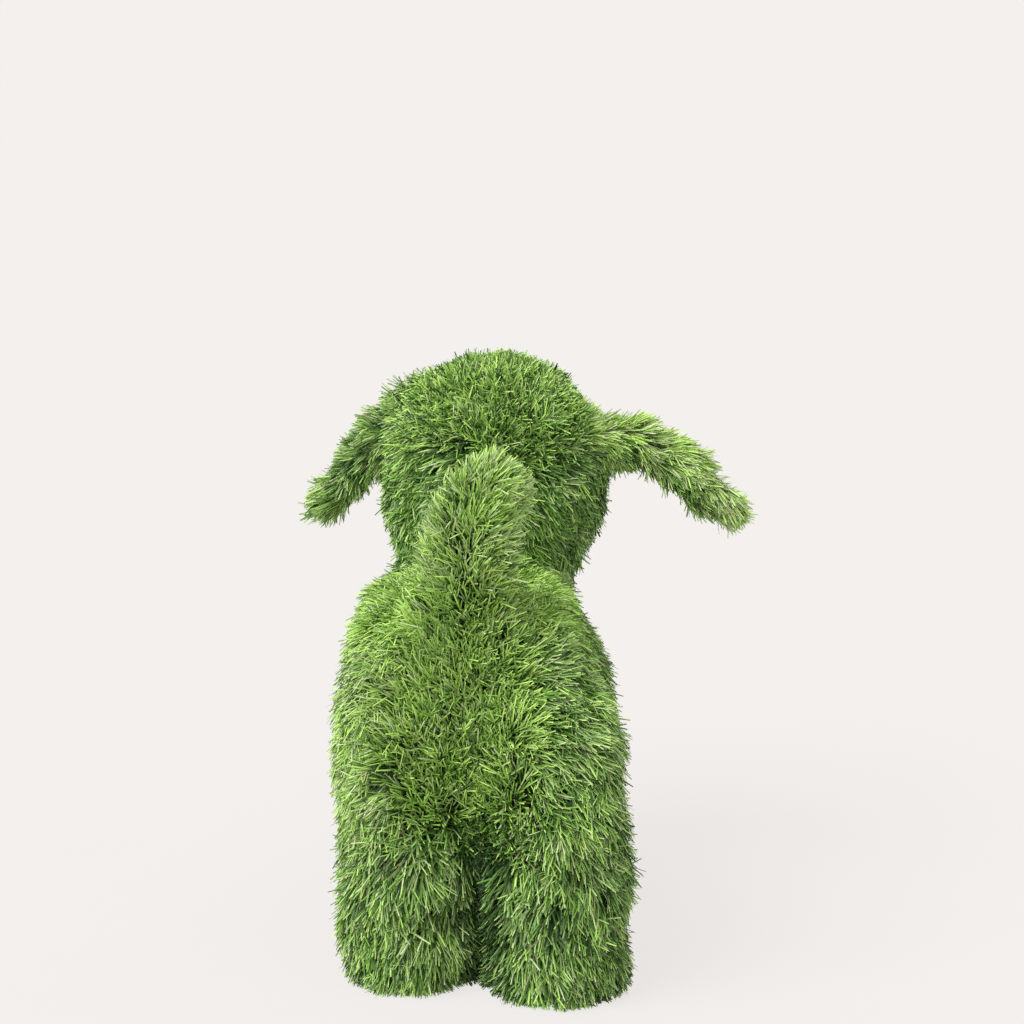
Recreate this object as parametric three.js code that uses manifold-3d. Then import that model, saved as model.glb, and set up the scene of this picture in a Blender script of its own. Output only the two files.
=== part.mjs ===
// A standing dog covered in artificial grass: one closed figure with a broad trunk, four column legs,
// a large round head turned to its right, two ears that hang out to the sides and an upright tail.
// The surface is the outside of the pile, with clumps of blades as low relief.
// Millimetres, +Z up. The dog faces -Y, and its left side is +X.
import * as THREE from "three";
import { mergeVertices } from "three/addons/utils/BufferGeometryUtils.js";
import Module from "manifold-3d";

// Overall sizes, measured over the grass
const HEIGHT = 659;
const BACK_HEIGHT = 424;
const BELLY_HEIGHT = 148;
const TRUNK_WIDTH = 268;
const TRUNK_SIDE = 20;
const TRUNK_LENGTH = 460;
const TRUNK_ROUNDING = 82;
const SHOULDER_DROP = 20;

// Legs, and how far in from the ends of the trunk they stand
const LEG_WIDTH = 156;
const LEG_DEPTH = 152;
const LEG_GAP = 10;
const FRONT_INSET = 85;
const HIND_INSET = 46;
const HIND_STAGGER = 34;

// Head, in its own frame: X across, -Y to the nose, Z up. Its middle stands in from the trunk's front end.
const HEAD_WIDTH = 284;
const HEAD_DEPTH = 256;
const HEAD_DROP = 308;
const HEAD_FULLNESS = 2.2;
const HEAD_SIDE = -8;
const HEAD_ROLL = 12;
const HEAD_INSET = 44;
const HEAD_YAW = -20;
const MUZZLE_WIDTH = 138;
const MUZZLE_HEIGHT = 116;
const MUZZLE_REACH = 58;
const NOSE_WIDTH = 46;
const NECK_WIDTH = 150;

// Ears and tail
const EAR_LENGTH = 214;
const EAR_WIDTH = 78;
const EAR_THICKNESS = 54;
const EAR_SWEEP = 18;
const TAIL_LENGTH = 164;
const TAIL_WIDTH = 112;
const TAIL_SIDE = -3;

// How each ear is carried: the place of its root as shares of the head's width and drop, the thickness of
// its root as a share of its own, and how many degrees each third of it falls below level.
// The right ear stands out almost level before it hangs, the left one hangs at once.
const RIGHT_EAR = { side: -1, out: 0.33, up: 0.278, root: 0.84, falls: [-4, 18, 34] };
const LEFT_EAR = { side: 1, out: 0.455, up: 0.222, root: 0.98, falls: [57, 59, 57] };

// Clumps of blades
const CLUMP_LENGTH = 88;
const CLUMP_WIDTH = 46;
const CLUMP_RISE = 17;
const CLUMP_LEVEL = 0.45;
const SOLE_FADE = 26;
const INNER_FADE = 30;

// Mesh
const CELL = 19;
const RELAXING_STEPS = 6;
const RELAXING_SHARE = 0.6;
const PROJECTING_STEPS = 3;
const GRADIENT_STEP = 0.5;
const BLEND = 42;

const v = (x, y, z) => new THREE.Vector3(x, y, z);
const radians = THREE.MathUtils.degToRad;

// The trunk's two ends in Y
const TRUNK_FRONT = -TRUNK_LENGTH / 2;
const TRUNK_REAR = TRUNK_LENGTH / 2;

// Signed distance fields, negative inside

// An ellipsoid, or a squarer one where fullness is over 2
function ellipsoid(centre, width, depth, height, fullness = 2) {
  const radii = v(width / 2, depth / 2, height / 2);
  return (p) => {
    const shares = p.clone().sub(centre).divide(radii).toArray().map(Math.abs);
    const outer = shares.reduce((sum, share) => sum + share ** fullness, 0) ** (1 / fullness);
    const slope = v(...shares.map((share) => share ** (fullness - 1))).divide(radii).length();
    if (slope < 1e-9) {
      return -Math.min(radii.x, radii.y, radii.z);
    }
    return ((outer - 1) * outer ** (fullness - 1)) / slope;
  };
}

function roundedBox(centre, width, depth, height, rounding) {
  const core = v(width / 2 - rounding, depth / 2 - rounding, height / 2 - rounding);
  return (p) => {
    const q = p.clone().sub(centre);
    q.set(Math.abs(q.x), Math.abs(q.y), Math.abs(q.z)).sub(core);
    const inside = Math.min(Math.max(q.x, q.y, q.z), 0);
    return q.max(v(0, 0, 0)).length() + inside - rounding;
  };
}

// A limb along a line of points, with a radius at each. flat squeezes it along the unit vector across.
function limb(points, radii, across = v(0, 1, 0), flat = 1) {
  const origin = points[0];
  const unsqueeze = (p) => {
    const away = p.clone().sub(origin).dot(across);
    return p.clone().addScaledVector(across, away * (1 / flat - 1));
  };
  const line = points.map(unsqueeze);
  return (p) => {
    const q = unsqueeze(p);
    let nearest = Infinity;
    for (let i = 0; i + 1 < line.length; i++) {
      const run = line[i + 1].clone().sub(line[i]);
      const share = THREE.MathUtils.clamp(q.clone().sub(line[i]).dot(run) / run.lengthSq(), 0, 1);
      const away = q.distanceTo(line[i].clone().addScaledVector(run, share));
      nearest = Math.min(nearest, away - THREE.MathUtils.lerp(radii[i], radii[i + 1], share));
    }
    return nearest * flat;
  };
}

// The smaller of two distances, rounded over a width of blend where they are close
function smooth(a, b, blend) {
  const overlap = Math.max(blend - Math.abs(a - b), 0) / blend;
  return Math.min(a, b) - (overlap * overlap * blend) / 4;
}

function union(fields, blend) {
  return (p) => fields.map((field) => field(p)).reduce((a, b) => smooth(a, b, blend));
}

// The trunk: ribs and rump in one rounded box that drops towards the shoulders, and a deeper chest
function trunk() {
  const middle = (BACK_HEIGHT + BELLY_HEIGHT) / 2;
  const deep = BACK_HEIGHT - BELLY_HEIGHT;
  const level = roundedBox(v(TRUNK_SIDE, 0, middle), TRUNK_WIDTH, TRUNK_LENGTH, deep, TRUNK_ROUNDING);
  const barrel = (p) => {
    const forward = THREE.MathUtils.smoothstep(-p.y, 0, TRUNK_LENGTH * 0.3);
    return level(v(p.x, p.y, p.z + SHOULDER_DROP * forward));
  };
  const chest = ellipsoid(
    v(TRUNK_SIDE * 0.4, -TRUNK_LENGTH * 0.3, middle - SHOULDER_DROP / 2),
    TRUNK_WIDTH * 0.94,
    TRUNK_LENGTH * 0.52,
    deep,
  );
  return union([barrel, chest], BLEND);
}

// One leg: a column that swells into the shoulder or thigh above and a broad paw below
function leg(side, station, thigh) {
  const x = (side * (LEG_WIDTH + LEG_GAP)) / 2;
  const radius = LEG_WIDTH / 2;
  const flat = LEG_WIDTH / LEG_DEPTH;
  const lean = LEG_DEPTH * 0.06;
  const top = v(x * 0.92, station * 0.96, BELLY_HEIGHT + LEG_WIDTH * 0.75);
  const knee = v(x, station + lean, BELLY_HEIGHT * 0.8);
  const paw = v(x, station, 0);
  const column = limb([top, knee, paw], [radius * thigh, radius * 0.97, radius * 0.93], v(1, 0, 0), flat);
  const toes = ellipsoid(
    v(x, station - LEG_DEPTH * 0.16, LEG_WIDTH * 0.16),
    LEG_WIDTH * 0.86,
    LEG_DEPTH * 0.98,
    LEG_WIDTH * 0.72,
  );
  return union([column, toes], BLEND / 2);
}

// The head in its own frame, with its middle as the origin. Its face has soft brows and a blunt muzzle.
function head() {
  const skull = ellipsoid(v(0, 0, 0), HEAD_WIDTH, HEAD_DEPTH, HEAD_DROP, HEAD_FULLNESS);
  const front = -HEAD_DEPTH / 2;
  const level = -HEAD_DROP * 0.13;
  const muzzle = ellipsoid(
    v(0, front + MUZZLE_REACH * 0.05, level),
    MUZZLE_WIDTH,
    MUZZLE_REACH * 1.9,
    MUZZLE_HEIGHT,
  );
  const nose = ellipsoid(
    v(0, front - MUZZLE_REACH * 0.82, level + MUZZLE_HEIGHT * 0.18),
    NOSE_WIDTH,
    NOSE_WIDTH * 0.8,
    NOSE_WIDTH * 0.8,
  );
  const brows = [1, -1].map((side) =>
    ellipsoid(
      v(side * HEAD_WIDTH * 0.2, front * 0.84, HEAD_DROP * 0.12),
      HEAD_WIDTH * 0.27,
      HEAD_DEPTH * 0.22,
      HEAD_DROP * 0.13,
    ),
  );
  return union([skull, muzzle, ...brows, nose], BLEND * 0.6);
}

// One ear in the head's frame, running outward from the side of the skull
function ear({ side, out, up, root, falls }) {
  const radius = EAR_WIDTH / 2;
  const sweep = radians(EAR_SWEEP);
  const points = [v(side * HEAD_WIDTH * out, 0, HEAD_DROP * up)];
  falls.forEach((angle, n) => {
    const level = Math.cos(radians(angle));
    const drop = Math.sin(radians(angle));
    const heading = v(side * Math.cos(sweep) * level, -Math.sin(sweep) * level, -drop);
    points.push(points[n].clone().addScaledVector(heading, EAR_LENGTH / falls.length));
  });
  const across = v(side * Math.sin(sweep), Math.cos(sweep), 0);
  const radii = [radius * root, radius * 0.9, radius * 0.94, radius * 0.8];
  return limb(points, radii, across, EAR_THICKNESS / EAR_WIDTH);
}

function headWithEars() {
  const inHead = union([head(), ear(RIGHT_EAR), ear(LEFT_EAR)], BLEND * 0.5);
  const roll = new THREE.Matrix4().makeRotationY(radians(-HEAD_ROLL));
  const turn = new THREE.Matrix4().makeRotationZ(radians(HEAD_YAW)).multiply(roll);
  const place = turn.setPosition(HEAD_SIDE, TRUNK_FRONT + HEAD_INSET, HEIGHT - HEAD_DROP / 2).invert();
  return (p) => inHead(p.clone().applyMatrix4(place));
}

// The neck: a short thick column from the shoulders into the back of the head
function neck() {
  const radius = NECK_WIDTH / 2;
  const low = v(0, -TRUNK_LENGTH * 0.27, BACK_HEIGHT - radius * 1.05);
  const high = v(0, TRUNK_FRONT + HEAD_INSET, HEIGHT - HEAD_DROP * 0.66);
  return limb([low, high], [radius * 1.1, radius * 0.95]);
}

// The tail stands up from the rump, leans a little to the dog's right and curls forward at its end
function tail() {
  const radius = TAIL_WIDTH / 2;
  const base = v(TRUNK_SIDE + TAIL_SIDE, TRUNK_LENGTH * 0.35, BACK_HEIGHT - radius * 0.9);
  const bends = [
    v(0.02, 0.12, 0.42),
    v(-0.06, 0.04, 0.38),
    v(-0.11, -0.12, 0.23),
  ];
  const points = [base];
  for (const bend of bends) {
    points.push(points.at(-1).clone().addScaledVector(bend, TAIL_LENGTH));
  }
  return limb(points, [radius * 1.04, radius, radius, radius * 0.9]);
}

// The whole figure. Each leg joins the trunk on its own, so that legs side by side stay apart.
function figure() {
  const front = TRUNK_FRONT + FRONT_INSET;
  const hind = TRUNK_REAR - HIND_INSET;
  const legs = [
    leg(1, front, 0.96),
    leg(-1, front, 0.96),
    leg(1, hind - HIND_STAGGER / 2, 1.03),
    leg(-1, hind + HIND_STAGGER / 2, 0.98),
  ];
  const upper = union([trunk(), neck()], BLEND);
  const rest = union([headWithEars(), tail()], BLEND * 0.7);
  return (p) => {
    const body = upper(p);
    const standing = Math.min(...legs.map((field) => smooth(body, field(p), BLEND)));
    return smooth(standing, rest(p), BLEND * 0.7);
  };
}

// The outward slope of a field at p
function gradient(field, p) {
  const slope = (axis) => {
    const step = v(0, 0, 0).setComponent(axis, GRADIENT_STEP);
    return field(p.clone().add(step)) - field(p.clone().sub(step));
  };
  return v(slope(0), slope(1), slope(2)).divideScalar(2 * GRADIENT_STEP);
}

// Moves p onto the surface of a field
function project(field, p) {
  for (let i = 0; i < PROJECTING_STEPS; i++) {
    const slope = gradient(field, p);
    p.addScaledVector(slope, -field(p) / Math.max(slope.lengthSq(), 0.25));
  }
}

// A grid cell's corners are numbered by their bits: 1 for +X, 2 for +Y and 4 for +Z. An edge of the cell is
// named by its lower corner and its axis, and each face of the cell lists its corners and its two axes.
const AXES = [0, 1, 2].map((axis) => 1 << axis);
const CORNERS = Array.from({ length: 8 }, (_, corner) => corner);
const FACES = AXES.flatMap((across) =>
  [0, across].map((side) => ({
    corners: CORNERS.filter((corner) => (corner & across) === side),
    axes: AXES.filter((axis) => axis !== across),
  })),
);
const edgeName = (corner, axis) => (corner & ~axis) * 8 + axis;
const bits = (corner) => [corner & 1, (corner >> 1) & 1, corner >> 2];

// The sheets of surface in one cell, as a map from each crossed edge to the name of its sheet.
// Crossed edges belong together where they meet across a face. Inside corners that only meet
// diagonally stay apart, so that two sheets in one cell each get a vertex of their own.
function sheetsIn(inside) {
  const sheets = new Map();
  const crossed = ({ corners, axes }) =>
    axes.flatMap((axis) =>
      corners
        .filter((corner) => !(corner & axis) && inside[corner] !== inside[corner | axis])
        .map((corner) => edgeName(corner, axis)),
    );
  const link = (a, b) => {
    const [kept, old] = [sheets.get(a) ?? a, sheets.get(b) ?? b];
    sheets.set(a, kept).set(b, kept);
    sheets.forEach((sheet, edge) => sheets.set(edge, sheet === old ? kept : sheet));
  };
  for (const face of FACES) {
    const edges = crossed(face);
    if (edges.length === 2) {
      link(...edges);
    }
    if (edges.length === 4) {
      const corners = face.corners.filter((corner) => inside[corner]);
      corners.forEach((corner) => link(...face.axes.map((axis) => edgeName(corner, axis))));
    }
  }
  return sheets;
}

// The surface where a field is zero, as a net with one vertex for each sheet of it in each grid cell
class NetGeometry extends THREE.BufferGeometry {
  constructor(field, box, cell) {
    super();
    const size = box.getSize(v(0, 0, 0)).divideScalar(cell).ceil();
    const [nx, ny, nz] = size.toArray().map((n) => n + 1);
    const at = (i, j, k) => (k * ny + j) * nx + i;
    const values = new Float64Array(nx * ny * nz);
    const each = (visit, margin) => {
      for (let k = margin; k < nz - margin; k++) {
        for (let j = margin; j < ny - margin; j++) {
          for (let i = margin; i < nx - margin; i++) {
            visit(i, j, k);
          }
        }
      }
    };
    each((i, j, k) => {
      values[at(i, j, k)] = field(v(i, j, k).multiplyScalar(cell).add(box.min));
    }, 0);

    const points = [];
    const cells = new Map();
    const openCell = (i, j, k) => {
      const inside = CORNERS.map((corner) => {
        const [x, y, z] = bits(corner);
        return values[at(i + x, j + y, k + z)] < 0;
      });
      const sheets = sheetsIn(inside);
      const vertices = new Map();
      for (const sheet of new Set(sheets.values())) {
        const edges = [...sheets.keys()].filter((edge) => sheets.get(edge) === sheet);
        const middle = v(0, 0, 0);
        edges.forEach((edge) => {
          const along = v(...bits(edge & 7)).multiplyScalar(0.5);
          middle.add(v(...bits(edge >> 3))).add(along);
        });
        vertices.set(sheet, points.length);
        points.push(middle.divideScalar(edges.length).add(v(i, j, k)).multiplyScalar(cell).add(box.min));
      }
      return (edge) => vertices.get(sheets.get(edge));
    };
    const vertexOf = (i, j, k, edge) => {
      const key = at(i, j, k);
      if (!cells.has(key)) {
        cells.set(key, openCell(i, j, k));
      }
      return cells.get(key)(edge);
    };

    const quads = [];
    each((i, j, k) => {
      const here = values[at(i, j, k)] < 0;
      const facing = (axis, ring) => {
        const [x, y, z] = bits(axis);
        const there = values[at(i + x, j + y, k + z)] < 0;
        if (here !== there) {
          const quad = ring.map((corner) => {
            const [a, b, c] = bits(corner);
            return vertexOf(i - a, j - b, k - c, edgeName(corner, axis));
          });
          quads.push(here ? quad : quad.reverse());
        }
      };
      facing(1, [6, 4, 0, 2]);
      facing(2, [5, 1, 0, 4]);
      facing(4, [3, 2, 0, 1]);
    }, 1);

    this.relax(field, points, quads);
    const index = quads.flatMap(([a, b, c, d]) => {
      const short = points[a].distanceTo(points[c]) < points[b].distanceTo(points[d]);
      return short ? [a, b, c, a, c, d] : [a, b, d, b, c, d];
    });
    this.setIndex(index);
    this.setFromPoints(points);
  }

  // Evens out the net: each vertex moves towards the middle of its neighbours and back onto the surface
  relax(field, points, quads) {
    points.forEach((p) => project(field, p));
    const neighbours = points.map(() => new Set());
    for (const quad of quads) {
      quad.forEach((a, n) => {
        const b = quad[(n + 1) % quad.length];
        neighbours[a].add(b);
        neighbours[b].add(a);
      });
    }
    for (let step = 0; step < RELAXING_STEPS; step++) {
      const means = neighbours.map((set) => {
        const mean = v(0, 0, 0);
        set.forEach((n) => mean.add(points[n]));
        return mean.divideScalar(set.size);
      });
      points.forEach((p, n) => {
        p.lerp(means[n], RELAXING_SHARE);
        project(field, p);
      });
    }
  }
}

// A repeatable number from 0 to 1 for a grid place
function chance(i, j, k, salt) {
  const wave = Math.sin(i * 127.1 + j * 311.7 + k * 74.7 + salt * 53.3) * 43758.5453;
  return wave - Math.floor(wave);
}

// How far p stands up the nearest clump, from 0 in the parting between clumps to 1 near its tip.
// Clumps hang: each is longest in Z, and its tip is its lower end.
function clump(p) {
  const q = v(p.x / CLUMP_WIDTH, p.y / CLUMP_WIDTH, p.z / CLUMP_LENGTH);
  const home = q.clone().floor();
  const places = [-1, 0, 1].flatMap((i) => [-1, 0, 1].flatMap((j) => [-1, 0, 1].map((k) => v(i, j, k))));
  const heights = places.map((place) => {
    const cell = place.add(home);
    const jitter = [0, 1, 2].map((salt) => 0.15 + 0.7 * chance(cell.x, cell.y, cell.z, salt));
    const away = q.clone().sub(cell).sub(v(...jitter));
    return (1.1 - 1.5 * away.length()) * (1 - 0.5 * away.z);
  });
  return THREE.MathUtils.clamp(Math.max(...heights), 0, 1);
}

// Raises the clumps from the net and sinks the partings between them. They fade out above the soles and
// towards the middle plane, where the legs stand close.
function addClumps(geometry, field) {
  const places = geometry.getAttribute("position");
  const p = v(0, 0, 0);
  for (let n = 0; n < places.count; n++) {
    p.fromBufferAttribute(places, n);
    const low = THREE.MathUtils.smoothstep(p.z, 0, SOLE_FADE);
    const inner = p.z < BELLY_HEIGHT ? THREE.MathUtils.smoothstep(Math.abs(p.x), 0, INNER_FADE) : 1;
    const outward = gradient(field, p).normalize();
    p.addScaledVector(outward, (clump(p) - CLUMP_LEVEL) * CLUMP_RISE * low * inner);
    places.setXYZ(n, p.x, p.y, p.z);
  }
  return geometry;
}

// A geometry as a solid that can be cut, and a solid as a geometry
function solidOf(wasm, geometry) {
  const bare = new THREE.BufferGeometry().setAttribute("position", geometry.getAttribute("position"));
  bare.setIndex(geometry.index);
  const merged = mergeVertices(bare, 1e-3);
  return new wasm.Manifold(
    new wasm.Mesh({
      numProp: 3,
      vertProperties: new Float32Array(merged.getAttribute("position").array),
      triVerts: new Uint32Array(merged.index.array),
    }),
  );
}

function geometryOf(solid) {
  const mesh = solid.getMesh();
  const geometry = new THREE.BufferGeometry();
  geometry.setAttribute("position", new THREE.BufferAttribute(mesh.vertProperties, 3));
  geometry.setIndex(new THREE.BufferAttribute(mesh.triVerts, 1));
  return geometry;
}

// The figure, cut flat under its paws
function dogGeometry(wasm) {
  const field = figure();
  const reach = v(TRUNK_WIDTH / 2 + EAR_LENGTH, TRUNK_LENGTH * 0.95, 0);
  reach.divideScalar(CELL).ceil().multiplyScalar(CELL);
  const box = new THREE.Box3(v(-reach.x, -reach.y, -LEG_WIDTH), v(reach.x, reach.y, HEIGHT + 2 * CELL));
  const skin = addClumps(new NetGeometry(field, box, CELL), field);
  const floor = new THREE.BoxGeometry(reach.x * 2, reach.y * 2, HEIGHT).translate(0, 0, -HEIGHT / 2);
  return geometryOf(solidOf(wasm, skin).subtract(solidOf(wasm, floor)));
}

const wasm = await Module();
wasm.setup();

const geometry = dogGeometry(wasm);
geometry.computeBoundingBox();
const centre = geometry.boundingBox.getCenter(v(0, 0, 0));
geometry.translate(-centre.x, -centre.y, 0);
geometry.computeVertexNormals();

const grass = new THREE.MeshStandardMaterial({ color: 0x6e9c42, roughness: 0.7, metalness: 0 });
grass.flatShading = true;
const dog = new THREE.Mesh(geometry, grass);
dog.name = "grass_dog";

const part = new THREE.Group();
part.add(dog);
export default part;
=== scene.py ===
import math

import bmesh
import bpy
import numpy as np
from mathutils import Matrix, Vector, noise
from mathutils.bvhtree import BVHTree


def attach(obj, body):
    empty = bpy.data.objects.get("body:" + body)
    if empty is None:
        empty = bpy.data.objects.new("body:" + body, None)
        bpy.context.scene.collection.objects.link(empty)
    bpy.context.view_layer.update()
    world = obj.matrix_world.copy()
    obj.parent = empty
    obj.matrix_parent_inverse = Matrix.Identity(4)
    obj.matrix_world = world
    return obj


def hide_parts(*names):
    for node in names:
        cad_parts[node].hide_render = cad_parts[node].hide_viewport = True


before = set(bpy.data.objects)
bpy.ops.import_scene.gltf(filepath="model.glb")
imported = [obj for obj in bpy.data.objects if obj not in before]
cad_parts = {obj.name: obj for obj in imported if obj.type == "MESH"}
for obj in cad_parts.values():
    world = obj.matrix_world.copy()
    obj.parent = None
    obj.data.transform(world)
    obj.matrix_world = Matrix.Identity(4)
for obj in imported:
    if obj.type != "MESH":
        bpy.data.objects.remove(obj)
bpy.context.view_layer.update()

# A standing dog figure covered in artificial grass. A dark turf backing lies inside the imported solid,
# and blades of grass grow from it in locks, region by region, up to the solid's surface.
# Metres. The guides below are in the dog's own frame: X to its left, Y to its rear, Z up, with the
# origin on the ground midway between the left and right legs.

random = np.random.default_rng(20)
noise.seed_set(20)
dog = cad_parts["grass_dog"]

# The backing: the soles run on below the floor while it is inset, and are cut flat again
SOLE_BAND = 0.0005
SOLE_EXTENSION = 0.06
SOLE_LEVEL = 0.0006
HINDMOST_SOLE = 0.2737
BACKING_CELL = 0.0088
BACKING_SMOOTHING = 14
PILE_DEPTH = 0.019
PILE_SHARE = 0.3
DEPTH_SMOOTHING = 12

# Blades: their sizes, how much these differ, and how they bend from root to tip
BLADE_LENGTH = 0.037
BLADE_WIDTH = 0.0017
LENGTH_SPREAD = 0.14
WIDTH_SPREAD = 0.18
ROLL_SPREAD = 0.75
TIP_SHARE = 0.65
TUFTS = 18800
BLADES_PER_TUFT = 12
TUFT_RADIUS = 0.003
ROOT_DEPTH = 0.0012
PROUD = 0.004
LOWEST_BLADE = 0.0009
BEND = 0.25
LEAN_RANGE = (3, 76)
WANDER = 0.55
WANDER_LIMIT = 30

# Short thin blades at the bottom of the pile, with their lean and shade as mean and spread
THATCH_SHARE = 0.28
THATCH_LENGTH = 0.5
THATCH_WIDTH = 0.5
THATCH_LEAN = (48, 20)
THATCH_SHADE = (0.25, 0.13)
EAR_THATCH_SHADE = 0.52

# Stray blades, which turn further from the comb and stand more upright
STRAY_SHARE = 0.06
STRAY_TURN = 2.6
STRAY_RISE = 0.35
STRAY_PROUD = 2.0

# How much the tufts differ in shade, and in turn and lean in degrees
TUFT_SHADE = 0.12
TUFT_TURN = 16
TUFT_LEAN = 9

# A parting's blades are fewer, and painted darker as the shade in the parting
PARTING_THINNING = 0.55
PARTING_PAINTED_SHADE = 0.5

# Between the legs the blades are longer and cross the gap, and are painted darker: painted shade between the legs
GAP_SIDE = (0.025, 0.04)
GAP_HEIGHT = 0.175
GAP_PROUD = 0.012
GAP_LEAN = 0.6
GAP_LENGTH = 1.15
GAP_PAINTED_SHADE = 0.4

# Just over the floor the blades splay outward and are painted darker: painted shade near the floor
SPLAY_HEIGHT = 0.03
SPLAY = 0.5
SPLAY_SPREAD = (0.3, 1.7)
SPLAY_PAINTED_SHADE = 0.32

# Columns of the blades' colours: the first one and the number of them in each family
SHADES = 64
LUSH = (0, 26)
PALE = (26, 26)
DRY = (52, 12)

# Noise that gathers the blades into locks and swirls, and varies the grass in patches
LOCK_SIZE = 0.021
LOCK_TURN = 0.6
LOCK_LENGTH = 0.25
LOCK_SHADE = 0.1
SWIRL_SIZE = 0.055
SWIRL_TURN = 0.56
PATCH_SIZE = 0.045
PATCH_SHADE = 0.13
PATCH_LEAN = 10
PALE_SIZE = 0.03
PALE_SPREAD = 0.5

# Where the guides disagree, the heading is short and the lean drops to a share of itself. Grass with more
# scatter than the limit is tangled and keeps more of it. Closely combed grass gathers less into locks.
AGREEMENT = 0.6
LEAST_LEAN = 0.25
TANGLED_SCATTER = 45
TANGLED_LEAST_LEAN = 0.85
LOOSE_SCATTER = 14
LEAST_LOOSE = 0.4


def own_frame_origin(mesh):
    """Where the dog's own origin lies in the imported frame, found from the soles."""
    soles = np.array([v.co for v in mesh.vertices if v.co.z < SOLE_BAND])
    return np.array([soles[:, 0].min() + np.ptp(soles[:, 0]) / 2, soles[:, 1].max() - HINDMOST_SOLE, 0])


ORIGIN = own_frame_origin(dog.data)


# How the grass looks in each region: the mean shade from 0, dark, to 1, bright; the shares of pale and
# of dry blades; the share of a blade's full length; the scatter in degrees; how densely the tufts stand;
# and how much the shade differs from blade to blade
REGIONS = {
    "back": (1.04, 0.18, 0.0, 1.0, 27, 1.0, 0.44),
    "left_flank": (0.86, 0.45, 0.01, 1.0, 14, 1.0, 0.32),
    # Darker than the left flank: painted shade of the side away from the key light
    "right_flank": (0.66, 0.45, 0.01, 1.0, 14, 1.0, 0.26),
    "rump": (0.98, 0.2, 0.0, 1.0, 31, 1.05, 0.46),
    "low_rump": (0.58, 0.3, 0.01, 0.85, 70, 1.1, 0.28),
    "front_legs": (0.6, 0.5, 0.01, 1.0, 14, 0.8, 0.25),
    "left_hind_leg": (0.6, 0.45, 0.01, 1.0, 14, 1.0, 0.26),
    "right_hind_leg": (0.55, 0.45, 0.01, 1.0, 14, 1.0, 0.25),
    # Darker mean shade: painted shade under the trunk; its dry blades are the grass's own colour
    "underside": (0.46, 0.5, 0.03, 0.9, 18, 0.7, 0.22),
    "chest": (0.6, 0.45, 0.01, 1.0, 15, 0.85, 0.25),
    "crown": (0.7, 0.2, 0.0, 0.8, 62, 1.1, 0.36),
    "head": (0.6, 0.3, 0.0, 0.9, 18, 1.0, 0.25),
    # Darker than the head: painted shadow of the right ear
    "right_cheek_painted_shadow": (0.5, 0.3, 0.0, 0.9, 18, 1.0, 0.22),
    "face": (0.66, 0.35, 0.0, 0.75, 16, 0.9, 0.22),
    "nose": (0.25, 0.2, 0.0, 0.5, 30, 1.5, 0.15),
    "left_ear": (0.7, 0.45, 0.01, 0.75, 9, 1.8, 0.22),
    # Brighter than the other regions: painted light on the ear's upturned top
    "right_ear": (1.12, 0.5, 0.01, 0.74, 9, 2.0, 0.16),
    # Darker than the ear's top: painted shade on the ear's lower edge
    "right_ear_lower_painted_shade": (0.66, 0.35, 0.03, 0.72, 10, 1.9, 0.2),
    "tail": (1.04, 0.4, 0.0, 0.85, 24, 1.25, 0.34),
}

shade_of, pale_of, dry_of, length_of, scatter_of, density_of, contrast_of = np.array(list(REGIONS.values())).T

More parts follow.
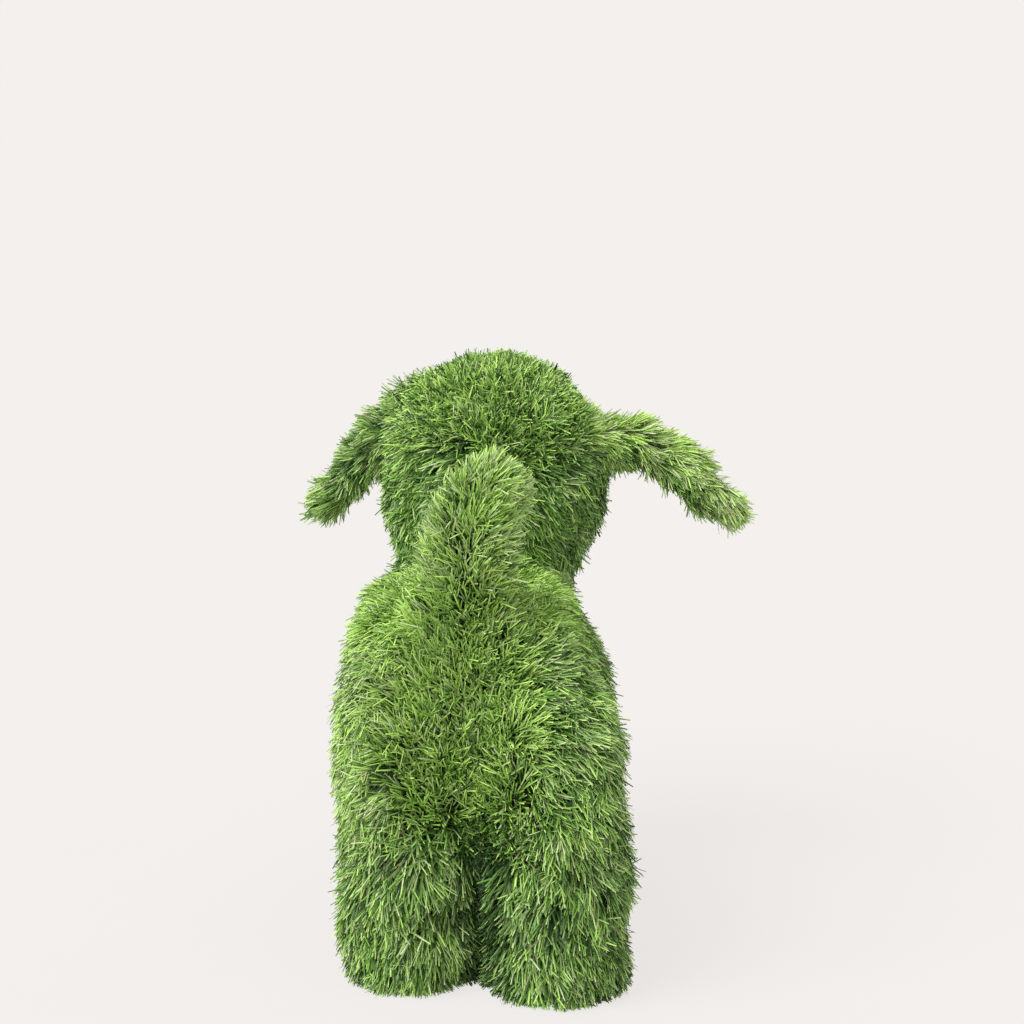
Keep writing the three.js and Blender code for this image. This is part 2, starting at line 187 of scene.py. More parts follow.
# Region, place, heading that the blades are combed in, lean from the surface's normal in degrees, reach
GUIDES = [
    # Sides of the trunk, combed down
    ("left_flank", (0.155, 0.14, 0.31), (0.2, 0.1, -1), 64, 0.075),
    ("left_flank", (0.155, 0.02, 0.31), (0, 0.1, -1), 64, 0.08),
    ("left_flank", (0.155, -0.12, 0.31), (0, 0.1, -1), 64, 0.08),
    ("right_flank", (-0.119, 0.14, 0.31), (-0.2, 0.1, -1), 64, 0.075),
    ("right_flank", (-0.119, 0.02, 0.31), (0, 0.1, -1), 64, 0.08),
    ("right_flank", (-0.119, -0.12, 0.31), (0, 0.1, -1), 64, 0.08),
    # Back, combed to both sides
    ("back", (0.09, 0.02, 0.42), (1, 0.25, 0), 58, 0.07),
    ("back", (-0.06, 0.02, 0.42), (-1, 0.25, 0), 58, 0.07),
    ("back", (0.018, -0.02, 0.425), (0.1, 1, 0.2), 40, 0.05),
    ("back", (-0.06, 0.11, 0.42), (-1, 0, 0.4), 48, 0.045),
    ("back", (-0.06, 0.17, 0.415), (-1, 0, 0.3), 54, 0.035),
    ("back", (0.09, 0.13, 0.415), (1, 0.1, 0.1), 60, 0.045),
    ("back", (0.1, 0.18, 0.4), (1, 0, 0), 62, 0.035),
    # Rump, combed up in its middle and over to the sides and down at its margins
    ("rump", (0.02, 0.22, 0.415), (0, 0, 1), 30, 0.025),
    ("rump", (0.048, 0.235, 0.35), (0.12, 0, 1), 50, 0.045),
    ("rump", (-0.005, 0.235, 0.35), (-0.08, 0, 1), 50, 0.04),
    ("rump", (0.022, 0.235, 0.265), (0, 0, 1), 50, 0.03),
    ("rump", (0.06, 0.235, 0.212), (0.2, 0, 1), 42, 0.024),
    ("rump", (0.005, 0.235, 0.21), (-0.1, 0, 1), 42, 0.024),
    ("rump", (-0.036, 0.228, 0.235), (-0.4, 0, 0.8), 38, 0.024),
    ("rump", (0.09, 0.215, 0.365), (0.5, 0, 0.85), 50, 0.03),
    ("rump", (0.092, 0.22, 0.285), (0.4, 0, 0.9), 46, 0.03),
    ("rump", (-0.03, 0.23, 0.31), (-0.6, 0, 0.7), 48, 0.03),
    ("rump", (-0.03, 0.225, 0.39), (-0.5, 0, 0.7), 54, 0.03),
    ("left_flank", (0.125, 0.205, 0.37), (1, 0, -0.35), 64, 0.03),
    ("left_flank", (0.128, 0.205, 0.31), (1, 0, -0.75), 64, 0.03),
    ("left_flank", (0.138, 0.2, 0.25), (0.55, 0, -0.85), 64, 0.045),
    ("right_flank", (-0.07, 0.225, 0.365), (-0.85, 0, -0.4), 60, 0.03),
    ("right_flank", (-0.078, 0.225, 0.3), (-0.7, 0, -0.7), 62, 0.035),
    ("right_flank", (-0.088, 0.22, 0.23), (-0.4, 0, -0.9), 62, 0.035),
    ("low_rump", (0.082, 0.23, 0.182), (0.4, 0, -0.3), 48, 0.026),
    ("low_rump", (0.045, 0.238, 0.178), (-0.3, 0, -0.3), 48, 0.024),
    ("low_rump", (0.01, 0.238, 0.178), (0.3, 0, -0.3), 48, 0.024),
    ("low_rump", (-0.038, 0.235, 0.178), (-0.3, 0, -0.3), 48, 0.026),
    # Legs, combed down
    ("left_hind_leg", (0.105, 0.2, 0.15), (0.15, 0, -1), 64, 0.05),
    ("left_hind_leg", (0.083, 0.2, 0.05), (0.05, 0, -1), 60, 0.07),
    ("right_hind_leg", (-0.04, 0.25, 0.12), (0.3, 0, -1), 62, 0.05),
    ("right_hind_leg", (-0.125, 0.25, 0.14), (-0.4, 0, -1), 62, 0.05),
    ("right_hind_leg", (-0.083, 0.22, 0.04), (0, 0, -1), 60, 0.06),
    ("front_legs", (0.083, -0.145, 0.12), (0.1, 0, -1), 60, 0.08),
    ("front_legs", (-0.083, -0.145, 0.12), (-0.1, 0, -1), 60, 0.08),
    # Underside and chest
    ("underside", (0.018, 0.04, 0.15), (0, 0.8, -0.6), 50, 0.06),
    ("underside", (0.018, -0.08, 0.15), (0, 0.8, -0.6), 50, 0.06),
    ("chest", (0.0, -0.26, 0.26), (0, 0, -1), 60, 0.08),
    ("chest", (0.0, -0.25, 0.36), (0, 0, -1), 56, 0.06),
    ("chest", (0.1, -0.2, 0.38), (0.6, 0.3, -1), 60, 0.06),
    ("chest", (-0.1, -0.2, 0.38), (-0.6, 0.3, -1), 60, 0.06),
    # Head, combed away from a whorl on the back of it
    ("crown", (-0.016, -0.062, 0.575), (-0.3, 0, 0.8), 44, 0.035),
    ("crown", (-0.016, -0.1, 0.635), (-0.1, 0.3, 1), 42, 0.04),
    ("crown", (-0.01, -0.18, 0.66), (0, -0.4, 1), 34, 0.045),
    ("crown", (0.06, -0.09, 0.59), (0.9, 0, 0.4), 48, 0.04),
    ("crown", (-0.085, -0.09, 0.59), (-0.9, 0, 0.4), 48, 0.045),
    ("head", (0.065, -0.08, 0.52), (0.75, 0, -0.7), 58, 0.045),
    ("right_cheek_painted_shadow", (-0.1, -0.08, 0.51), (-0.65, 0, -0.8), 60, 0.045),
    ("head", (-0.016, -0.06, 0.47), (0, 0, -1), 60, 0.045),
    ("head", (0.12, -0.17, 0.46), (0.3, 0.2, -1), 60, 0.055),
    ("right_cheek_painted_shadow", (-0.14, -0.16, 0.46), (-0.3, 0.2, -1), 60, 0.055),
    ("crown", (0.1, -0.19, 0.642), (0.9, -0.2, -0.3), 72, 0.036),
    ("crown", (-0.1, -0.2, 0.63), (-0.9, -0.3, 0.3), 40, 0.045),
    # Face, combed away from the nose
    ("face", (-0.06, -0.31, 0.62), (0.1, 0, 1), 48, 0.05),
    ("face", (0.03, -0.31, 0.58), (0.6, 0, 0.6), 54, 0.045),
    ("face", (-0.02, -0.35, 0.5), (0.9, 0.4, 0.25), 52, 0.04),
    ("face", (-0.12, -0.3, 0.5), (-0.9, 0.3, 0.25), 52, 0.04),
    ("face", (0.06, -0.29, 0.45), (0.7, 0.2, -0.7), 56, 0.05),
    ("face", (-0.14, -0.24, 0.42), (-0.6, 0.2, -0.8), 56, 0.05),
    ("face", (-0.07, -0.34, 0.39), (0, 0.2, -1), 56, 0.05),
    ("nose", (-0.066, -0.37, 0.486), (0, 0, -0.4), 14, 0.026),
    # Ears, combed along their length and to both sides of a parting down the back of each
    ("right_ear", (-0.14, -0.14, 0.59), (-1, 0, 0.3), 58, 0.03),
    ("right_ear", (-0.2, -0.14, 0.575), (-1, 0, 0.1), 65, 0.03),
    ("right_ear", (-0.255, -0.14, 0.54), (-0.95, 0, -0.3), 65, 0.03),
    ("right_ear", (-0.295, -0.14, 0.49), (-0.8, 0, -0.55), 65, 0.03),
    ("right_ear_lower_painted_shade", (-0.165, -0.14, 0.535), (-0.7, 0, -0.8), 58, 0.026),
    ("right_ear_lower_painted_shade", (-0.22, -0.14, 0.51), (-0.6, 0, -0.85), 65, 0.026),
    ("right_ear_lower_painted_shade", (-0.265, -0.14, 0.47), (-0.5, 0, -0.9), 65, 0.028),
    ("left_ear", (0.132, -0.2, 0.6), (0.7, 0, 0.8), 50, 0.022),
    ("left_ear", (0.165, -0.25, 0.575), (1, 0, 0.15), 58, 0.03),
    ("left_ear", (0.11, -0.245, 0.525), (0.45, -0.2, -1), 60, 0.028),
    ("left_ear", (0.21, -0.28, 0.52), (1, -0.2, -0.2), 60, 0.03),
    ("left_ear", (0.155, -0.28, 0.47), (0.5, -0.3, -1), 60, 0.03),
    ("left_ear", (0.225, -0.305, 0.45), (0.8, -0.4, -0.7), 60, 0.035),
    # Tail, combed up and outward from a parting up the back of it
    ("tail", (0.08, 0.18, 0.43), (1, 0, 0.5), 60, 0.03),
    ("tail", (0.062, 0.2, 0.475), (0.7, 0, 0.9), 60, 0.035),
    ("tail", (0.05, 0.21, 0.53), (0.45, 0, 1), 58, 0.035),
    ("tail", (-0.022, 0.215, 0.49), (-1, 0, 0.35), 60, 0.035),
    ("tail", (-0.025, 0.21, 0.54), (-0.8, 0, 0.8), 60, 0.035),
    ("tail", (0.03, 0.21, 0.572), (0.3, 0, 0.7), 28, 0.026),
    ("tail", (-0.02, 0.2, 0.578), (-0.5, 0, 0.6), 28, 0.026),
    ("tail", (0, 0.165, 0.595), (-0.6, -0.6, 0.2), 60, 0.03),
    ("tail", (0, 0.12, 0.5), (0, -0.4, 1), 55, 0.05),
]

# Partings where the dark backing shows: a place, its half extents and how far the blades turn away
PARTINGS = [
    ((0.03, 0.2, 0.41), (0.006, 0.05, 0.022), 0.25),
    ((-0.068, 0.228, 0.311), (0.006, 0.05, 0.018), 0.2),
    ((-0.05, 0.225, 0.25), (0.006, 0.05, 0.02), 0.15),
    ((0.092, 0.235, 0.141), (0.006, 0.03, 0.01), 0.3),
    ((-0.08, 0.27, 0.105), (0.005, 0.03, 0.022), 0.25),
    ((0.026, 0.22, 0.5), (0.006, 0.04, 0.05), 0.1),
    ((-0.01, 0.215, 0.47), (0.01, 0.06, 0.016), 0.3),
    ((-0.186, -0.12, 0.531), (0.014, 0.025, 0.006), 0.2),
    ((-0.217, -0.12, 0.515), (0.014, 0.025, 0.006), 0.2),
    ((-0.247, -0.12, 0.5), (0.014, 0.025, 0.006), 0.2),
    ((0.126, -0.221, 0.562), (0.012, 0.02, 0.012), 0.2),
    ((0.146, -0.235, 0.536), (0.012, 0.02, 0.012), 0.2),
    ((0.166, -0.248, 0.511), (0.012, 0.02, 0.012), 0.2),
    ((0.186, -0.261, 0.486), (0.012, 0.02, 0.012), 0.2),
]


# Places where the blades are cut short, how far from each, and to what share of their length
TRIMMED = [
    ((-0.15, 0.255, 0.012), 0.036, 0.25),
    ((0, 0.18, 0.605), 0.035, 0.5),
]


# Backing
def evaluated_mesh(obj):
    return bpy.data.meshes.new_from_object(obj.evaluated_get(bpy.context.evaluated_depsgraph_get()))


def arrays_of(mesh):
    """Vertex places, vertex normals and edges as arrays."""
    count = len(mesh.vertices)
    places = np.empty(count * 3, np.float32)
    mesh.vertices.foreach_get("co", places)
    normals = np.empty(count * 3, np.float32)
    mesh.vertices.foreach_get("normal", normals)
    edges = np.empty(len(mesh.edges) * 2, np.int32)
    mesh.edges.foreach_get("vertices", edges)
    return places.reshape(-1, 3).astype(float), normals.reshape(-1, 3).astype(float), edges.reshape(-1, 2)


def evened(values, edges, rounds):
    """Values at the vertices, averaged with their neighbours."""
    both = np.vstack([edges, edges[:, ::-1]])
    count = np.bincount(both[:, 0], minlength=len(values))
    for _ in range(rounds):
        total = np.bincount(both[:, 0], weights=values[both[:, 1]], minlength=len(values))
        values = 0.5 * values + 0.5 * total / np.maximum(count, 1)
    return values


def make_backing():
    shape = bmesh.new()
    shape.from_mesh(dog.data)
    bmesh.ops.remove_doubles(shape, verts=shape.verts, dist=1e-5)
    for vertex in shape.verts:
        if vertex.co.z < SOLE_BAND:
            vertex.co.z = -SOLE_EXTENSION
    mesh = bpy.data.meshes.new("turf_backing")
    shape.to_mesh(mesh)
    shape.free()
    backing = bpy.data.objects.new("turf_backing", mesh)
    bpy.context.scene.collection.objects.link(backing)
    remesh = backing.modifiers.new("remesh", "REMESH")
    remesh.mode = "VOXEL"
    remesh.voxel_size = BACKING_CELL
    smooth = backing.modifiers.new("smooth", "SMOOTH")
    smooth.iterations = BACKING_SMOOTHING
    smooth.factor = 0.5
    bpy.context.view_layer.update()
    mesh = evaluated_mesh(backing)
    backing.modifiers.clear()
    backing.data = mesh

    places, normals, edges = arrays_of(mesh)
    tree = BVHTree.FromPolygons(places.tolist(), [p.vertices[:] for p in mesh.polygons])
    depth = np.full(len(places), PILE_DEPTH)
    for i, (place, normal) in enumerate(zip(places, normals)):
        hit = tree.ray_cast(Vector(place - normal * 0.0005), Vector(-normal), PILE_DEPTH / PILE_SHARE)
        if hit[0] is not None:
            depth[i] = min(PILE_DEPTH, hit[3] * PILE_SHARE)
    depth = evened(depth, edges, DEPTH_SMOOTHING)
    places -= normals * depth[:, None]
    mesh.vertices.foreach_set("co", places.astype(np.float32).ravel())

    shape = bmesh.new()
    shape.from_mesh(mesh)
    everything = shape.verts[:] + shape.edges[:] + shape.faces[:]
    bmesh.ops.bisect_plane(
        shape, geom=everything, plane_co=(0, 0, SOLE_LEVEL), plane_no=(0, 0, -1), clear_outer=True
    )
    rims = [e for e in shape.edges if e.is_boundary]
    bmesh.ops.holes_fill(shape, edges=rims, sides=0)
    bmesh.ops.recalc_face_normals(shape, faces=shape.faces)
    shape.to_mesh(mesh)
    shape.free()
    mesh.shade_smooth()
    return backing


# Tufts
def tufts_on(mesh):
    """Places and normals of the tufts, spread evenly over the backing's quads."""
    _, normals, _ = arrays_of(mesh)
    corners, corner_normals, areas = [], [], []
    for face in mesh.polygons:
        if len(face.vertices) > 4 or face.normal.z < -0.98 and face.center.z < SOLE_LEVEL * 2:
            continue
        ring = list(face.vertices)
        if len(ring) < 4:
            ring.append(ring[-1])
        corners.append([mesh.vertices[i].co[:] for i in ring])
        corner_normals.append(normals[ring])
        areas.append(face.area)
    corners, corner_normals, areas = np.array(corners), np.array(corner_normals), np.array(areas)
    density = density_of[guided(corners.mean(1) - ORIGIN)[1]]
    wanted = areas * density / (areas * density).sum() * TUFTS
    counts = np.floor(wanted + random.random(len(wanted))).astype(int)
    which = np.repeat(np.arange(len(counts)), counts)
    a, b = random.random((2, len(which)))[:, :, None]

    def mix(ring):
        near = ring[which, 0] * (1 - a) + ring[which, 1] * a
        far = ring[which, 3] * (1 - a) + ring[which, 2] * a
        return near * (1 - b) + far * b

    return mix(corners), unit(mix(corner_normals))


def unit(vectors):
    return vectors / np.maximum(np.linalg.norm(vectors, axis=-1, keepdims=True), 1e-9)


def tangent(vectors, normals):
    return vectors - normals * (vectors * normals).sum(-1, keepdims=True)


def vector_noise(places, size, offset):
    return np.array([noise.noise_vector(Vector(p / size + offset)) for p in places])


def guided(own):
    """How much each guide counts at each place, and the region of the one that counts most."""
    names = list(REGIONS)
    spots = np.array([g[1] for g in GUIDES])
    reaches = np.array([g[4] for g in GUIDES])
    owners = np.array([names.index(g[0]) for g in GUIDES])
    power = -((np.linalg.norm(own[:, None] - spots[None], axis=-1) / reaches) ** 2)
    weight = np.exp(power - power.max(1, keepdims=True))
    return weight / weight.sum(1, keepdims=True), owners[weight.argmax(1)]


def combed(places, normals):
    """Heading, lean in radians and region of each tuft, from the guides, the partings and noise."""
    own = places - ORIGIN
    headings = unit(np.array([g[2] for g in GUIDES], float))
    leans = np.radians([g[3] for g in GUIDES])
    weight, region = guided(own)
    heading = tangent(weight @ headings, normals)
    agreement = np.clip(np.linalg.norm(heading, axis=1) / AGREEMENT, 0, 1)
    least = np.where(scatter_of > TANGLED_SCATTER, TANGLED_LEAST_LEAN, LEAST_LEAN)[region]
    lean = weight @ leans * (least + (1 - least) * agreement)

    opening = np.zeros(len(own))
    for place, extents, turn in PARTINGS:
        away = own - np.array(place)
        near = np.exp(-((away / np.array(extents)) ** 2).sum(1))
        opening = np.maximum(opening, near)
        heading += unit(tangent(away, normals)) * (near * turn)[:, None]
    loose = np.clip(scatter_of / LOOSE_SCATTER, LEAST_LOOSE, 1)[region][:, None]
    heading += tangent(vector_noise(own, LOCK_SIZE, 3.1), normals) * LOCK_TURN * loose
    heading += tangent(vector_noise(own, SWIRL_SIZE, 9.7), normals) * SWIRL_TURN
    return unit(heading), lean, region, opening


# Blades
def make_blades(places, normals, surface):
    """Root, middle and tip of every blade with its side vector, shade and region."""
    heading, lean, region, opening = combed(places, normals)
    reach = np.array([surface.find_nearest(Vector(p))[3] for p in places])
    gap = np.interp(np.abs((places - ORIGIN)[:, 0]), GAP_SIDE, (1, 0)) * (places[:, 2] < GAP_HEIGHT)
    patch = np.array([noise.noise(Vector(p / PATCH_SIZE)) for p in places])
    lock = np.array([noise.noise(Vector(p / LOCK_SIZE + 5.0)) for p in places])
    size = 1 + LOCK_LENGTH * lock
    tuft_shade = shade_of[region] + PATCH_SHADE * patch + LOCK_SHADE * lock
    tuft_shade += random.normal(0, TUFT_SHADE, len(places))
    low = np.clip(1 - places[:, 2] / SPLAY_HEIGHT, 0, 1)
    # Painted shade: tufts between the legs and just over the floor are made darker
    tuft_shade -= GAP_PAINTED_SHADE * gap + SPLAY_PAINTED_SHADE * low
    tuft_lean = lean + np.radians(random.normal(0, TUFT_LEAN, len(places))) + np.radians(PATCH_LEAN) * patch
    tuft_lean *= 1 - SPLAY * low * random.uniform(*SPLAY_SPREAD, len(places))
    tuft_turn = np.radians(random.normal(0, TUFT_TURN, len(places)))
    tuft_pale = np.array([noise.noise(Vector(p / PALE_SIZE + 2.0)) for p in places])
    sparse = np.clip(1 - PARTING_THINNING * opening, 0, 1)

    counts = np.floor(BLADES_PER_TUFT * sparse + random.random(len(places))).astype(int)
    t = np.repeat(np.arange(len(places)), counts)
    n = len(t)
    normal = normals[t]
    along = heading[t]
    across = np.cross(normal, along)
    kind = random.random(n)
    thatch = kind < THATCH_SHARE
    stray = kind > 1 - STRAY_SHARE
    scatter = np.radians(scatter_of[region[t]])
    turn = tuft_turn[t] + random.normal(0, 1, n) * scatter * np.where(stray, STRAY_TURN, 1)
    turn = np.where(thatch, random.uniform(-math.pi, math.pi, n), turn)
    wander = random.normal(0, WANDER, n) * np.minimum(scatter, math.radians(WANDER_LIMIT))
    angle = np.clip(tuft_lean[t] + wander, *np.radians(LEAN_RANGE))
    angle = np.where(thatch, np.radians(random.normal(*THATCH_LEAN, n).clip(0, 80)), angle)
    angle = np.where(stray, np.clip(angle - STRAY_RISE, 0.05, 1.2), angle)
    angle *= 1 - (1 - GAP_LEAN) * gap[t]
    way = along * np.cos(turn)[:, None] + across * np.sin(turn)[:, None]

    length = BLADE_LENGTH * length_of[region[t]] * size[t]
    length *= 1 + LENGTH_SPREAD * random.normal(0, 1, n).clip(-2, 2)
    for place, extent, share in TRIMMED:
        near = np.exp(-((np.linalg.norm((places - ORIGIN - place)[t], axis=1) / extent) ** 2))
        length *= 1 - (1 - share) * near
    length *= np.where(thatch, THATCH_LENGTH, 1) * (1 - (1 - GAP_LENGTH) * gap[t])
    room = reach[t] + PROUD * (0.5 + random.random(n)) * np.where(stray, STRAY_PROUD, 1) + GAP_PROUD * gap[t]
    length = np.minimum(length, room / np.cos(angle))

    def lean_to(share):
        a = (angle * share)[:, None]
        return normal * np.cos(a) + way * np.sin(a)

    spread = random.normal(0, TUFT_RADIUS / 2, (2, n, 1))
    root = places[t] - normal * ROOT_DEPTH + along * spread[0] + across * spread[1]
    middle = root + lean_to(1 - BEND) * (length * 0.5)[:, None]
    tip = middle + lean_to(1 + BEND) * (length * 0.5)[:, None]
    for point in (root, middle, tip):
        point[:, 2] = np.maximum(point[:, 2], LOWEST_BLADE)
    roll = random.normal(0, ROLL_SPREAD, n)[:, None]
    flat = unit(np.cross(tip - root, normal))
    side = unit(flat * np.cos(roll) + np.cross(unit(tip - root), flat) * np.sin(roll))
    width = BLADE_WIDTH * (1 + WIDTH_SPREAD * random.normal(0, 1, n).clip(-2, 2))
    width *= np.where(thatch, THATCH_WIDTH, 1)

    shade = tuft_shade[t] + random.normal(0, 1, n) * contrast_of[region[t]]
    in_ear = np.array(["ear" in name for name in REGIONS])[region[t]]
    thatch_shade = random.normal(*THATCH_SHADE, n) + in_ear * (EAR_THATCH_SHADE - THATCH_SHADE[0])
    # Blades in a parting are painted darker: painted shade in the parting
    shade = np.where(thatch, thatch_shade, shade) - PARTING_PAINTED_SHADE * opening[t]
    chosen = random.random(n)
    dry = chosen < dry_of[region[t]]
    pale_chance = np.clip(pale_of[region[t]] + PALE_SPREAD * tuft_pale[t], 0, 1)
    pale = ~dry & (thatch | (random.random(n) < pale_chance))
    family = np.where(dry[:, None], DRY, np.where(pale[:, None], PALE, LUSH))
    column = family[:, 0] + (np.clip(shade, 0, 0.999) * family[:, 1]).astype(int)
    return root, middle, tip, side * width[:, None], column, region[t]


def ribbons(name, root, middle, tip, side, column, material):
    """A mesh of two-part ribbons, one for each blade."""
    n = len(root)
    points = np.stack(
        [
            root - side * 0.5,
            root + side * 0.5,
            middle - side * 0.5,
            middle + side * 0.5,
            tip - side * 0.5 * TIP_SHARE,
            tip + side * 0.5 * TIP_SHARE,
        ],
        1,
    )
    points[:, :, 2] = np.maximum(points[:, :, 2], LOWEST_BLADE * 0.5)
    quads = np.array([[0, 1, 3, 2], [2, 3, 5, 4]])
    corners = (np.arange(n)[:, None, None] * 6 + quads[None]).reshape(-1)
    mesh = bpy.data.meshes.new(name)
    mesh.vertices.add(n * 6)
    mesh.vertices.foreach_set("co", points.astype(np.float32).ravel())
    mesh.loops.add(n * 8)
    mesh.loops.foreach_set("vertex_index", corners.astype(np.int32))
    mesh.polygons.add(n * 2)
    mesh.polygons.foreach_set("loop_start", np.arange(0, n * 8, 4, dtype=np.int32))
    left = np.array([0, 1, 1, 0])
    height = np.array([[0, 0, 0.5, 0.5], [0.5, 0.5, 1, 1]])
    u = (column[:, None, None] + 0.06 + 0.88 * left[None, None, :]) / SHADES + np.zeros((n, 2, 4))
    v = 0.02 + 0.96 * height[None] + np.zeros((n, 2, 4))
    layer = mesh.uv_layers.new(name="OFBake")
    layer.uv.foreach_set("vector", np.stack([u, v], -1).astype(np.float32).ravel())
    mesh.update(calc_edges=True)
    mesh.validate()
    mesh.materials.append(material)
    piece = bpy.data.objects.new(name, mesh)
    bpy.context.scene.collection.objects.link(piece)
    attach(piece, "root")
    return piece


# Materials
def srgb(red, green, blue):
    def linear(c):
        c /= 255
        return c / 12.92 if c <= 0.04045 else ((c + 0.055) / 1.055) ** 2.4

    return (linear(red), linear(green), linear(blue), 1)


class Nodes:
    """A material's node tree, with the principled shader and short calls for adding nodes."""

    def __init__(self, name, roughness):
        self.material = bpy.data.materials.new(name)
        self.material.use_nodes = True
        self.tree = self.material.node_tree
        self.shader = self.tree.nodes["Principled BSDF"]
        self.shader.inputs["Roughness"].default_value = roughness

    def add(self, kind, inputs=None, **settings):
        node = self.tree.nodes.new("ShaderNode" + kind)
        for key, value in settings.items():
            setattr(node, key, value)
        for key, value in (inputs or {}).items():
            if isinstance(value, bpy.types.NodeSocket):
                self.tree.links.new(value, node.inputs[key])
            else:
                node.inputs[key].default_value = value
        return node

    def ramp(self, value, stops):
        node = self.add("ValToRGB", {"Fac": value})
        elements = node.color_ramp.elements
        while len(elements) < len(stops):
            elements.new(0.5)
        for element, (position, colour) in zip(elements, stops):
            element.position = position
            element.color = colour
        return node.outputs["Color"]

    def math(self, operation, a, b=0.0):
        return self.add("Math", {0: a, 1: b}, operation=operation).outputs[0]

    def multiply(self, a, b):
        node = self.add("Mix", data_type="RGBA", blend_type="MULTIPLY")
        node.inputs["Factor"].default_value = 1
        self.tree.links.new(a, node.inputs["A"])
        self.tree.links.new(b, node.inputs["B"])
        return node.outputs["Result"]

    def colour(self, socket):
        self.tree.links.new(socket, self.shader.inputs["Base Color"])

    def bump(self, height, distance, strength):
        node = self.add("Bump", {"Height": height, "Distance": distance, "Strength": strength})
        self.tree.links.new(node.outputs["Normal"], self.shader.inputs["Normal"])


def blade_material():
    """Plastic blades: the UV map's u picks the shade and its fraction runs across the blade, v runs up it."""
    m = Nodes("grass_blades", 0.48)
    uv = m.add("SeparateXYZ", {0: m.add("UVMap", uv_map="OFBake").outputs[0]})
    families = [
        (LUSH, [(18, 44, 14), (56, 97, 35), (114, 163, 67), (160, 205, 99), (200, 238, 126)]),
        (PALE, [(28, 54, 22), (84, 116, 64), (140, 172, 104), (182, 208, 138), (204, 224, 164)]),
        (DRY, [(80, 76, 52), (130, 122, 80), (188, 180, 120)]),
    ]
    stops = []
    for (first, count), colours in families:
        for i, colour in enumerate(colours):
            place = (first + 0.01 + (count - 0.02) * i / (len(colours) - 1)) / SHADES
            stops.append((place, srgb(*colour)))
    pick = m.ramp(uv.outputs[0], stops)
    # Darker towards the root: painted shade deep in the pile
    height = m.ramp(
        uv.outputs[1],
        [
            (0.0, (0.12, 0.16, 0.14, 1)),
            (0.3, (0.42, 0.48, 0.4, 1)),
            (0.6, (0.9, 0.92, 0.86, 1)),
            (1.0, (1.0, 1.0, 0.98, 1)),
        ],
    )
    across = m.math("FRACT", m.math("MULTIPLY", uv.outputs[0], float(SHADES)))
    rib = m.math("ABSOLUTE", m.math("SUBTRACT", across, 0.5))
    # Across the blade: painted light of a folded blade, a painted highlight along the middle and painted shade
    # towards the edges, one side darker than the other
    painted_fold_light = m.ramp(
        across,
        [
            (0.06, (0.6, 0.62, 0.56, 1)),
            (0.44, (0.74, 0.76, 0.7, 1)),
            (0.5, (1.0, 1.0, 1.0, 1)),
            (0.58, (0.96, 0.98, 0.92, 1)),
            (0.94, (0.88, 0.9, 0.84, 1)),
        ],
    )
    m.colour(m.multiply(m.multiply(pick, height), painted_fold_light))
    m.bump(rib, 0.0004, 0.6)
    m.shader.inputs["Specular IOR Level"].default_value = 0.35
    return m.material


def backing_material():
    """Dark thatch on woven backing, with bare grey-violet soles."""
    m = Nodes("turf_thatch", 0.8)
    place = m.add("TexCoord").outputs["Object"]
    grain = m.add("TexNoise", {"Vector": place, "Scale": 260.0, "Detail": 5.0, "Roughness": 0.6})
    patches = m.add("TexNoise", {"Vector": place, "Scale": 40.0, "Detail": 3.0})
    greens = [(0.3, srgb(14, 26, 12)), (0.5, srgb(26, 44, 20)), (0.62, srgb(44, 66, 28)), (0.78, srgb(70, 80, 44))]
    thatch = m.ramp(grain.outputs["Fac"], greens)
    tone = m.ramp(patches.outputs["Fac"], [(0.3, (0.7, 0.75, 0.7, 1)), (0.7, (1, 1, 0.95, 1))])
    level = m.add("SeparateXYZ", {0: place}).outputs[2]
    sole = m.ramp(m.math("MULTIPLY", level, 20.0), [(0.12, (1, 1, 1, 1)), (0.4, (0, 0, 0, 1))])
    rubber = m.ramp(grain.outputs["Fac"], [(0.3, srgb(52, 48, 62)), (0.7, srgb(92, 84, 100))])
    mixed = m.add("Mix", data_type="RGBA")
    m.tree.links.new(sole, mixed.inputs["Factor"])
    m.tree.links.new(m.multiply(thatch, tone), mixed.inputs["A"])
    m.tree.links.new(rubber, mixed.inputs["B"])
    m.colour(mixed.outputs["Result"])
    m.bump(grain.outputs["Fac"], 0.002, 0.7)
    return m.material


# Stage
AMBIENCE = 1.0
SUN_STRENGTH = 3.4
SUN_ANGLE = 40
SUN_TOWARDS = Vector((0.75, 0.5, 1.0)).normalized()
FLOOR_RADIUS = 60
FLOOR_DROP = 0.0004
FLOOR_GLOW = 0.85
FLOOR_MOTTLE = (1.08, 1.1)
CAMERA_LENS = 70.73
CAMERA_PLACE = (-0.030, 2.3, 0.90)
CAMERA_PITCH = 10


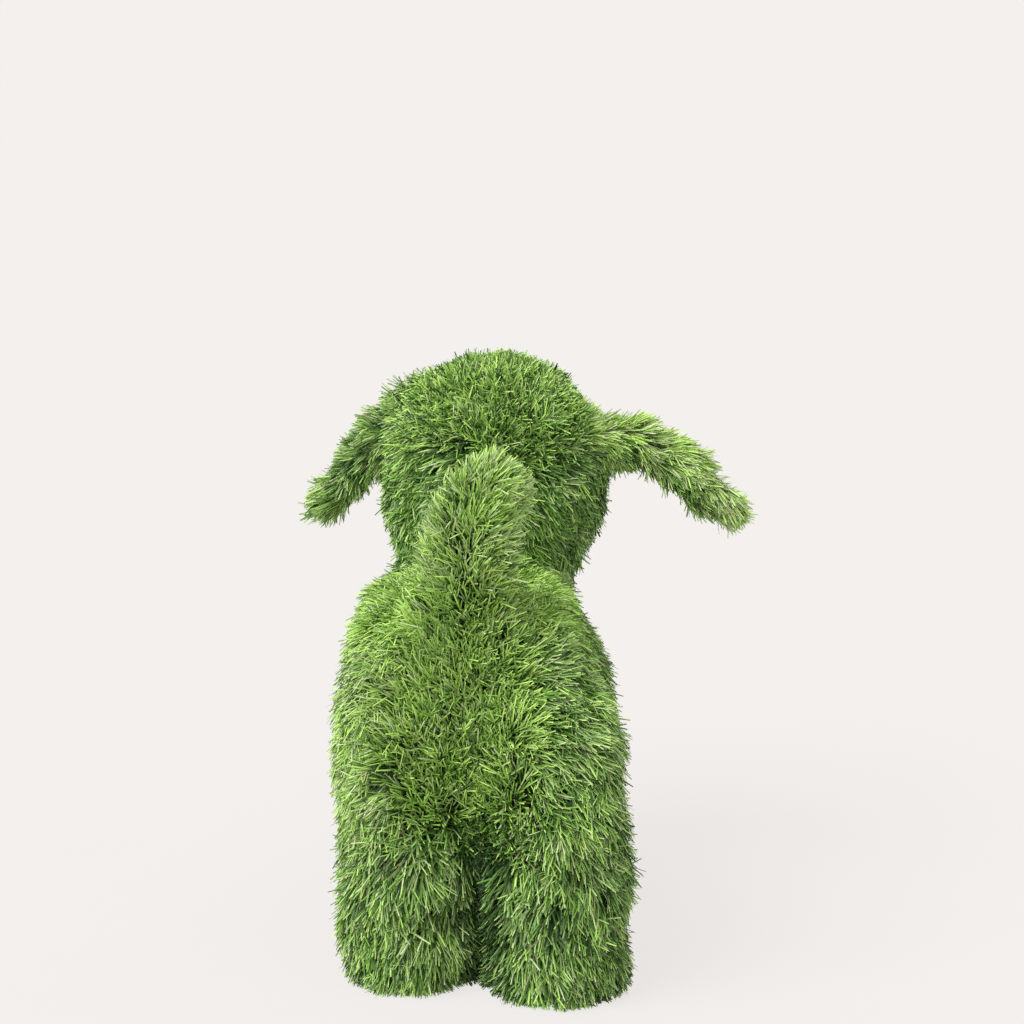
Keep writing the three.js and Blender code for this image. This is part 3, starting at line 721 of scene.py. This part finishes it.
def make_stage():
    scene = bpy.context.scene
    scene.view_settings.view_transform = "Standard"
    pale = srgb(243, 240, 237)
    world = bpy.data.worlds.new("studio")
    world.use_nodes = True
    background = world.node_tree.nodes["Background"]
    background.inputs["Color"].default_value = pale
    background.inputs["Strength"].default_value = AMBIENCE
    scene.world = world

    light = bpy.data.lights.new("key", "SUN")
    light.energy = SUN_STRENGTH
    light.angle = math.radians(SUN_ANGLE)
    key = bpy.data.objects.new("key", light)
    key.rotation_euler = SUN_TOWARDS.to_track_quat("Z", "Y").to_euler()
    scene.collection.objects.link(key)

    # The floor glows a little, which keeps its shadows faint and its tone that of the backdrop
    bpy.ops.mesh.primitive_circle_add(
        vertices=96, radius=FLOOR_RADIUS, fill_type="NGON", location=(0, 0, -FLOOR_DROP)
    )
    floor = bpy.context.object
    floor.name = "floor"
    m = Nodes("pale_floor", 0.9)
    share = (1 - FLOOR_GLOW) / (AMBIENCE + SUN_STRENGTH * SUN_TOWARDS.z / math.pi)
    place = m.add("TexCoord").outputs["Object"]
    mottle = m.add("TexNoise", {"Vector": place, "Scale": 3.0, "Detail": 2.0}).outputs["Fac"]
    low, high = (tuple(c * share * k for c in pale[:3]) + (1,) for k in FLOOR_MOTTLE)
    m.colour(m.ramp(mottle, [(0.4, low), (0.6, high)]))
    m.shader.inputs["Specular IOR Level"].default_value = 0
    m.shader.inputs["Emission Color"].default_value = pale
    m.shader.inputs["Emission Strength"].default_value = FLOOR_GLOW
    floor.data.materials.append(m.material)

    camera = bpy.data.objects.new("camera", bpy.data.cameras.new("camera"))
    camera.data.sensor_width = 36
    camera.data.lens = CAMERA_LENS
    camera.data.clip_end = 200
    camera.location = Vector(CAMERA_PLACE) + Vector(ORIGIN)
    camera.rotation_euler = (math.radians(90 - CAMERA_PITCH), 0, math.radians(180))
    scene.collection.objects.link(camera)
    scene.camera = camera


# The figure
def make_figure():
    backing = make_backing()
    backing.data.materials.clear()
    backing.data.materials.append(backing_material())
    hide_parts("grass_dog")
    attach(backing, "root")
    faces = [p.vertices[:] for p in dog.data.polygons]
    surface = BVHTree.FromPolygons([v.co for v in dog.data.vertices], faces)
    blades = make_blades(*tufts_on(backing.data), surface)
    material = blade_material()
    for index, name in enumerate(REGIONS):
        chosen = blades[5] == index
        ribbons("blades_" + name, *(part[chosen] for part in blades[:5]), material)


make_figure()
make_stage()
